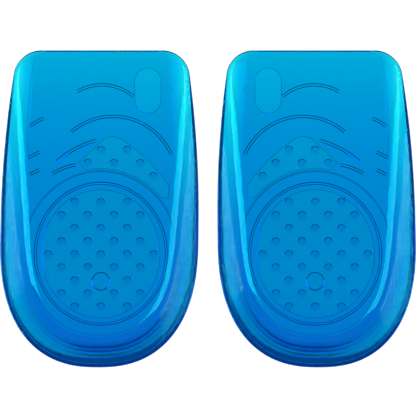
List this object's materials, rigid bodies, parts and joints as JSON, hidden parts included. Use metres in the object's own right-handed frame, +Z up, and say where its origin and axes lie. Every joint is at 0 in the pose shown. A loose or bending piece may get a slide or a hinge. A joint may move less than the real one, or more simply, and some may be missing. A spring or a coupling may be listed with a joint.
{
  "type": "gel heel cup insoles",
  "caption": "Pair of clear blue moulded gel heel cups with raised rim walls, nubbed heel pads, crescent pads and thin straight front edges.",
  "frame": {"origin": "on the surface the soles rest on, midway between the two cups and midway along them", "axes": "+Z up from the soles; +Y towards the straight front edges, with the heels at -Y; +X from the left cup to the right cup"},
  "size_m": [0.141, 0.108, 0.022],
  "materials": {
    "firm_gel": "clear glossy moulded gel",
    "soft_gel": "clear glossy soft gel"
  },
  "bodies": {
    "left_cup": {"left_shell": "firm_gel", "left_heel_pad": "soft_gel", "left_crescent_pad": "soft_gel"},
    "right_cup": {"right_shell": "firm_gel", "right_heel_pad": "soft_gel", "right_crescent_pad": "soft_gel"}
  },
  "joints": [
    {"name": "right_cup_lift", "type": "slide", "parent": "left_cup", "child": "right_cup", "axis": [0, 0, 1], "range_m": [0, 0.06]}
  ]
}
